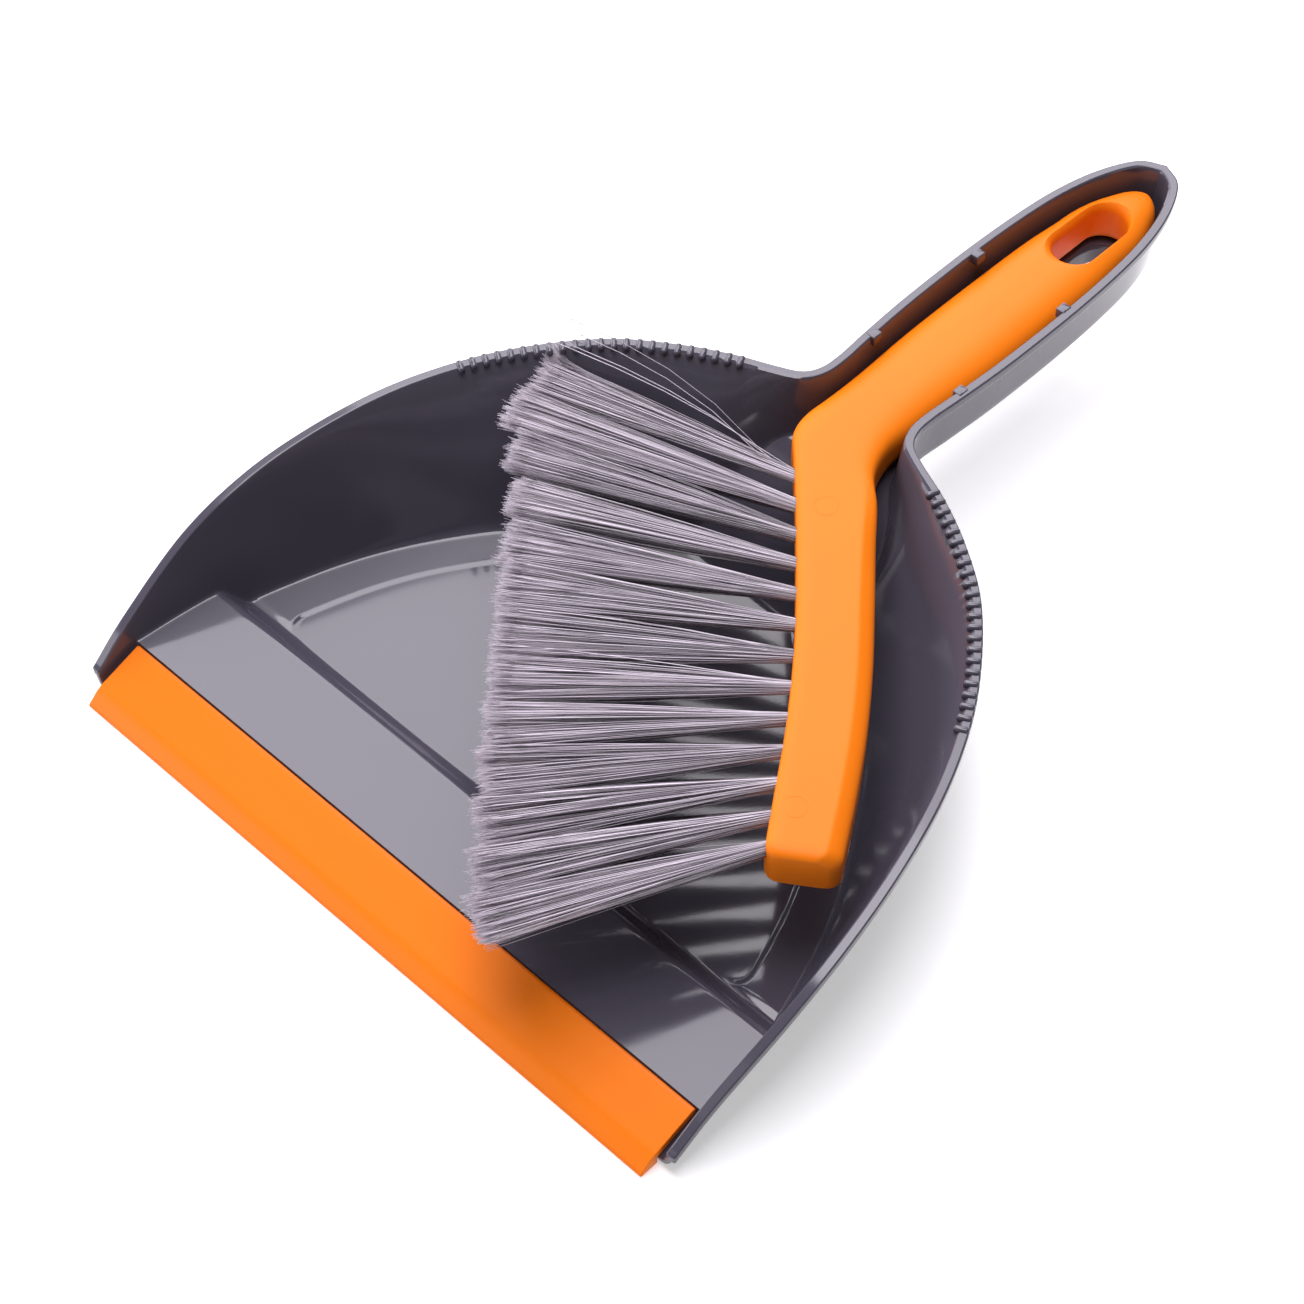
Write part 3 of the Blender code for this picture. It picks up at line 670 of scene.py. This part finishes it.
# The tufts' places: one row per row of tufts, with height, tufts, offset in pitches, rise
# in degrees, and the free length at the neck end and at the far end.
TUFT_ROWS = ((41.5, 13, 0.0, 2.5, 81.0, 75.0), (34.9, 12, 0.5, 0.0, 73.0, 74.0))
TUFT_PITCH, FIRST_TUFT = 10.6, 5.5
FAN_MIDDLE, FAN_SPREAD = 39.2, 22.7     # heading of the middle tuft, and how far it swings
TUFT_HOLE_RADIUS, TUFT_HOLE_DEPTH = 2.35, 11.0
DRILL_OVERRUN = 3.0         # how far the drill starts outside the block
TUFT_TIP_HALF = (6.4, 3.2)
TIP_CLEARANCE = 1.5


def tuft_frame(place, angle, rise):
    """Axes with Z along the tuft, X across the fan and Y up, at the tuft's root."""
    flat = Vector((-math.cos(angle), -math.sin(angle), 0.0))
    along = flat * math.cos(rise) + Vector((0.0, 0.0, math.sin(rise)))
    across = Vector((0.0, 0.0, 1.0)).cross(flat)
    turned = Matrix((across, along.cross(across), along)).transposed().to_4x4()
    return Matrix.Translation(place * MM) @ turned


def find_tufts():
    """Name, root frame and free length in millimetres of every tuft."""
    face = smooth_curve(BODY_KEYS, 2)[FACE_KEY * 2:, :2]
    run = np.concatenate([[0.0], np.cumsum(np.hypot(*np.diff(face, axis=0).T))])
    middle = (TUFT_ROWS[0][1] - 1) / 2
    found = []
    for row, facts in zip(("upper", "lower"), TUFT_ROWS):
        z, count, offset, rise, near_length, far_length = facts
        for i in range(count):
            step = i + offset
            place = [np.interp(FIRST_TUFT + step * TUFT_PITCH, run, face[:, k]) for k in range(2)]
            angle = math.radians(FAN_MIDDLE + FAN_SPREAD * (step - middle) / middle)
            root = tuft_frame(Vector((*place, z)), angle, math.radians(rise))
            length = np.interp(step, (0, 2 * middle), (near_length, far_length))
            while tip_clearance(root, length) < TIP_CLEARANCE:
                length -= 1.0
            found.append((f"{row}_{i + 1:02d}", root, float(length)))
    return found


def tip_clearance(root, length):
    """The least height of a tuft's tip above the pan's wall."""
    tips = [root @ Vector((side * TUFT_TIP_HALF[0] * MM, 0.0, length * MM)) for side in (-1, 0, 1)]
    tips = np.array(tips) / MM
    return float(np.min(tips[:, 2] - TUFT_TIP_HALF[1] - wall_height(tips[:, :2])[0]))


tufts = find_tufts()
drills = []
for _, root, _ in tufts:
    depth = TUFT_HOLE_DEPTH + DRILL_OVERRUN
    bpy.ops.object.select_all(action="DESELECT")
    bpy.ops.mesh.primitive_cylinder_add(vertices=20, radius=TUFT_HOLE_RADIUS * MM,
                                        depth=depth * MM)
    drill = bpy.context.object
    drill.matrix_world = root @ Matrix.Translation((0.0, 0.0, (depth / 2 - TUFT_HOLE_DEPTH) * MM))
    drills.append(drill)
drill = join(drills)
bpy.ops.object.transform_apply(location=True, rotation=True, scale=True)
boolean(brush_body, drill, "DIFFERENCE")

# The witness rings that the mould's ejector pins left in the block's top.
EJECTOR_MARKS = ((78.2, -82.0), (16.0, -1.5))
MARK_RADIUS, MARK_DEPTH = 3.3, 0.07
block_top = BRUSH_MID_Z + body[-1][4]
marks = []
for x, y in EJECTOR_MARKS:
    bpy.ops.object.select_all(action="DESELECT")
    bpy.ops.mesh.primitive_torus_add(
        location=(x * MM, y * MM, block_top * MM), major_segments=40, minor_segments=6,
        major_radius=MARK_RADIUS * MM, minor_radius=MARK_DEPTH * MM)
    bpy.ops.object.transform_apply(location=True)
    marks.append(bpy.context.object)
boolean(brush_body, join(marks), "DIFFERENCE")
shade_smooth(brush_body, 32.0)

# A fine spark-eroded grain, under a colour that varies a little from place to place.
matt_orange = Finish("matt orange polypropylene", IOR=1.49, Specular_IOR_Level=0.22)
grain = matt_orange.noise(2600.0, 2.0)
cloud = matt_orange.noise(22.0, 3.0)
matt_orange.set(
    Base_Color=matt_orange.mix(cloud, (0.90, 0.195, 0.002), (0.96, 0.222, 0.003)),
    Roughness=0.40 + cloud * 0.06 + grain * 0.06,
    Normal=matt_orange.bump(grain, 0.00003, 0.5, matt_orange.bump(cloud, 0.0003, 0.2)))
put_on(brush_body, matt_orange)
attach(brush_body, "brush")
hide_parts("brush_body")


# ==== The anchors ==================================================================
# Short pieces of flat steel wire, driven across the folded tufts at the bottom of their
# holes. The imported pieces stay, with a drawn and cropped finish.
anchor_steel = Finish("drawn anchor wire", Metallic=1.0)
drawn = anchor_steel.noise(900.0, 3.0, (1.0, 1.0, 0.1))
anchor_steel.set(Base_Color=anchor_steel.mix(drawn, (0.42, 0.42, 0.44), (0.68, 0.68, 0.70)),
                 Roughness=0.22 + drawn * 0.2)
for name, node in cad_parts.items():
    if name.startswith("anchor_"):
        put_on(node, anchor_steel)


# ==== The tufts ====================================================================
# Straight polyester filaments, folded in half and stapled into their holes. They fan
# out, cross each other and are flagged: every end is split into finer hairs.
FILAMENTS = 215
FILAMENT_RADIUS = 0.14
HAIRS = 3
HAIR_RADII = (0.085, 0.075, 0.05)
ROOT_RADIUS = 1.85          # of the bundle where it leaves its hole
LONGER = {"upper_01": 9.0, "upper_02": 4.5, "upper_03": 2.0}   # tufts that lie against the wall
FAN_HALF = 7.7              # half the width of a tuft's fan at its tips
FAN_EASE = 1.12             # above 1, a tuft opens faster near its root
SAG = 0.9                   # how far the tips hang down
CLUMPS = 9                  # places in a fan that the tips gather at
STRAY_SHARES = (0.05, 0.028)    # of the first tuft, and of the others
# the loose long filaments of the first tuft: their tips' place across and up, extra
# length, and bow across and up
LONG_STRAYS = np.array(((-9.0, 5.5, 6.0, -1.5, 2.0), (-12.5, 7.0, 9.5, -2.6, 3.0),
                        (-7.0, 6.5, 7.5, -1.0, 1.6), (-15.5, 8.0, 11.5, -3.2, 3.4)))
WALL_GAP = 0.5              # the least height of a tip above the pan's wall
FIRST_SEED = 700
# where a filament and its hairs have their points, as shares of the free length
MAIN_STOPS = np.array((-0.13, 0.0, 0.05, 0.18, 0.36, 0.56, 0.76, 0.93))
HAIR_STOPS = np.array((0.91, 0.96, 1.0))


def filament_paths(chance, root, length, first, extra):
    """Paths of a tuft's filaments and of the hairs at their ends, in metres."""
    count = FILAMENTS
    turn = np.arange(count) * math.pi * (3 - math.sqrt(5))
    radius = ROOT_RADIUS * np.sqrt((np.arange(count) + 0.5) / count)
    start = np.column_stack([radius * np.cos(turn), radius * np.sin(turn)])
    clumps = chance.uniform(-1, 1, (CLUMPS, 2)) * (FAN_HALF, TUFT_TIP_HALF[1])
    rank = (np.argsort(np.argsort(start[:, 0])) + 0.5) / count * 2 - 1
    spread = np.column_stack([rank * FAN_HALF, start[:, 1] / ROOT_RADIUS * TUFT_TIP_HALF[1]])
    away = np.hypot(*(spread[:, None] - clumps[None]).transpose(2, 0, 1))
    nearest = clumps[np.argmin(away, axis=1)]
    pull = chance.uniform(0.1, 0.75, (count, 1))
    end = spread * (1 - pull) + nearest * pull + chance.normal(0, (0.5, 0.4), (count, 2))
    stray = chance.random(count) < STRAY_SHARES[0 if first else 1]
    end[stray] += chance.normal(0, (3.4, 1.2), (int(stray.sum()), 2))
    reach = length + extra + chance.normal(0.3, 0.8, count)
    bow = chance.normal(0, (0.42, 0.35), (count, 2))
    if first:
        loose = slice(-len(LONG_STRAYS), None)
        end[loose] = LONG_STRAYS[:, :2]
        reach[loose] = length + LONG_STRAYS[:, 2]
        bow[loose] = LONG_STRAYS[:, 3:]

    def points(stops):
        """The filaments' middle lines at some stops, in the tuft's own frame."""
        t = np.clip(stops, 0.0, None)[None, :, None]
        fan = 1 - (1 - t) ** FAN_EASE
        lateral = start[:, None] * (1 - fan) + end[:, None] * fan
        lateral = lateral + bow[:, None] * np.sin(math.pi * t) * np.minimum(1.0, t * 4)
        lateral[..., 1] -= SAG * t[..., 0] ** 2
        along = (stops[None, :] * reach[:, None])[..., None]
        return np.concatenate([lateral, along], axis=2)

    main = points(MAIN_STOPS)
    hairs = []
    for _ in range(HAIRS):
        tips = end + chance.normal(0, (0.3, 0.24), (count, 2))
        hair = points(HAIR_STOPS)
        away = (tips - end)[:, None] * np.array((0.0, 0.4, 1.0))[None, :, None]
        hair[..., :2] += away
        hair[:, -1, 2] += chance.normal(0, 0.5, count)
        hairs.append(hair)
    frame_matrix = np.array(root)
    placed = []
    for path in (main, np.concatenate(hairs)):
        world = path @ frame_matrix[:3, :3].T + frame_matrix[:3, 3] / MM
        for k in (-1, -2):
            floor_z = wall_height(world[:, k, :2])[0] + WALL_GAP
            inside = world[:, k, 2] < floor_z
            world[inside, k, 2] = floor_z[inside]
        placed.append(world * MM)
    return placed


def tubes(paths, radii, chance):
    """Three-sided tubes along many paths, closed at their far ends."""
    count, stops = paths.shape[:2]
    heading = np.gradient(paths, axis=1)
    heading /= np.linalg.norm(heading, axis=2, keepdims=True)
    side = np.cross(heading, (0.0, 0.0, 1.0))
    side /= np.linalg.norm(side, axis=2, keepdims=True)
    up = np.cross(side, heading)
    roll = chance.uniform(0, 2 * math.pi, count)[:, None, None]
    points = []
    for third in range(3):
        turn = roll + third * 2 * math.pi / 3
        outward = side * np.cos(turn) + up * np.sin(turn)
        points.append(paths + outward * np.array(radii)[None, :, None] * MM)
    points = np.stack(points, axis=2).reshape(-1, 3)
    base = (np.arange(count) * stops * 3)[:, None, None]
    ring = (np.arange(stops - 1) * 3)[None, :, None]
    corner = np.arange(3)[None, None, :]
    a = base + ring + corner
    b = base + ring + (corner + 1) % 3
    quads = np.stack([a, b, b + 3, a + 3], axis=3).reshape(-1, 4)
    caps = np.arange(count)[:, None] * stops * 3 + (stops - 1) * 3 + np.arange(3)[None]
    return points, quads, caps


def make_tuft(number, name, root, length):
    """One tuft as one piece, with a tone of its own for every filament, spread wide as painted
    shade and painted highlight.
    """
    chance = np.random.default_rng(FIRST_SEED + number)
    main, hairs = filament_paths(chance, root, length, name == "upper_01", LONGER.get(name, 0.0))
    points, faces = [], []
    for paths, radii in ((main, [FILAMENT_RADIUS] * len(MAIN_STOPS)), (hairs, HAIR_RADII)):
        made, quads, caps = tubes(paths, radii, chance)
        faces += (quads + len(points)).tolist() + (caps + len(points)).tolist()
        points += made.tolist()
    mesh = bpy.data.meshes.new(name)
    mesh.from_pydata(points, [], faces)
    # a random tone per filament, spread wide so that it paints shade and highlights among the
    # strands
    shade = chance.random(FILAMENTS)
    shades = np.concatenate([np.repeat(shade, len(MAIN_STOPS) * 3),
                             np.repeat(np.tile(shade, HAIRS), len(HAIR_STOPS) * 3)])
    along = np.concatenate([np.tile(np.repeat(MAIN_STOPS, 3), FILAMENTS),
                            np.tile(np.repeat(HAIR_STOPS, 3), FILAMENTS * HAIRS)])
    colours = np.column_stack([shades, along, shades, np.ones(len(shades))])
    layer = mesh.color_attributes.new("strand", "FLOAT_COLOR", "POINT")
    layer.data.foreach_set("color", colours.reshape(-1).astype(np.float32))
    tuft = bpy.data.objects.new("bristles_" + name, mesh)
    bpy.context.scene.collection.objects.link(tuft)
    select_only(tuft)
    bpy.ops.object.shade_smooth()
    return tuft


# Every filament has a tone of its own, and its split ends are paler and rougher. The tones spread
# much wider than real bristles vary: the dark filaments are painted shade between the strands, and
# the pale ones are painted highlights.
filament_gloss = Finish("grey polyester filament", IOR=1.55, Specular_IOR_Level=0.7)
strand = filament_gloss.node("Attribute", {"attribute_name": "strand"})
tone_and_painted_light = filament_gloss.node("SeparateColor", inputs={"Color": strand})
reach_along = Value(filament_gloss, tone_and_painted_light.socket.node.outputs[1])
split_end = filament_gloss.ramp(reach_along, 0.88, 1.0)
# dark filaments are painted shade between strands, pale ones are painted highlights
filament_tone_and_painted_light = filament_gloss.mix(tone_and_painted_light, (0.15, 0.13, 0.152), (0.80, 0.72, 0.81))
filament_gloss.set(
    Base_Color=filament_gloss.mix(split_end * 0.6, filament_tone_and_painted_light, (0.56, 0.50, 0.57)),
    Roughness=0.22 + tone_and_painted_light * 0.12 + filament_gloss.ramp(reach_along, 0.8, 1.0) * 0.2)
for number, (name, root, length) in enumerate(tufts):
    tuft = make_tuft(number, name, root, length)
    put_on(tuft, filament_gloss)
    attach(tuft, "brush")
    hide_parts("tuft_" + name)


# ==== Floor, light and camera ======================================================
# A white table under soft boxes, seen from above the pan's right front corner. The
# table glows a little, so that the object's shadow stays faint on it.
bpy.ops.object.select_all(action="DESELECT")
bpy.ops.mesh.primitive_plane_add(size=40.0, location=(0, 0, -0.0002))
table = bpy.context.object
table.name = "table"
bpy.ops.object.transform_apply(location=True)
table_white = Finish("white light table", Roughness=0.6,
                     Emission_Color=(1.0, 1.0, 1.0, 1.0), Emission_Strength=0.42)
table_white.set(Base_Color=table_white.mix(table_white.noise(3.0), (0.90, 0.90, 0.90),
                                           (0.92, 0.92, 0.92)))
put_on(table, table_white)

CAMERA_TARGET = Vector((-0.00795, -0.04476, 0.0))
CAMERA_SIDE = Vector((0.4377, -0.4519, 0.7773))
CAMERA_DISTANCE = 0.8964
lens = bpy.data.cameras.new("camera")
camera = bpy.data.objects.new("camera", lens)
bpy.context.scene.collection.objects.link(camera)
lens.lens, lens.sensor_width = 88.55, 36.0
camera.location = CAMERA_TARGET + CAMERA_SIDE * CAMERA_DISTANCE
camera.rotation_euler = (CAMERA_TARGET - camera.location).to_track_quat("-Z", "Y").to_euler()
bpy.context.scene.camera = camera

LIGHT_COLOUR = (0.97, 0.94, 1.0)
# name, x, y and radiance of the soft boxes that hang level above the table
BANKS = (("overhead_bank", -0.3, 0.0, 6.6), ("rear_left_bank", -0.9, 0.6, 4.8),
         ("rear_bank", -0.75, 1.2, 4.6), ("front_bank", -0.3, -1.2, 0.5))
BANK_Z, BANK_SIZE = 1.25, (1.2, 0.6)
SCREEN_TURNS, SCREEN_REACH, SCREEN_Z = (135, 180, 225), 1.7, 0.55
SCREEN_SIZE, SCREEN_RADIANCE = (1.3, 0.9), 3.0


def softbox(name, place, aim, size, radiance):
    """A rectangular area light of some size and radiance, turned to face a point."""
    light = bpy.data.lights.new(name, "AREA")
    light.shape, light.size, light.size_y = "RECTANGLE", *size
    light.energy = radiance * math.pi * size[0] * size[1]
    light.color = LIGHT_COLOUR
    box = bpy.data.objects.new(name, light)
    bpy.context.scene.collection.objects.link(box)
    box.location = place
    box.rotation_euler = (Vector(aim) - box.location).to_track_quat("-Z", "Y").to_euler()


for name, x, y, radiance in BANKS:
    softbox(name, (x, y, BANK_Z), (x, y, 0.0), BANK_SIZE, radiance)
for number, degrees in enumerate(SCREEN_TURNS):
    turn = math.radians(degrees)
    place = (SCREEN_REACH * math.cos(turn), SCREEN_REACH * math.sin(turn), SCREEN_Z)
    softbox(f"left_screen_{number}", place, (0.0, 0.0, 0.1), SCREEN_SIZE, SCREEN_RADIANCE)
world = bpy.data.worlds.new("studio")
world.use_nodes = True
background = world.node_tree.nodes["Background"].inputs
background["Color"].default_value = (1.0, 1.0, 1.0, 1.0)
background["Strength"].default_value = 0.16
bpy.context.scene.world = world
bpy.context.scene.view_settings.view_transform = "Standard"
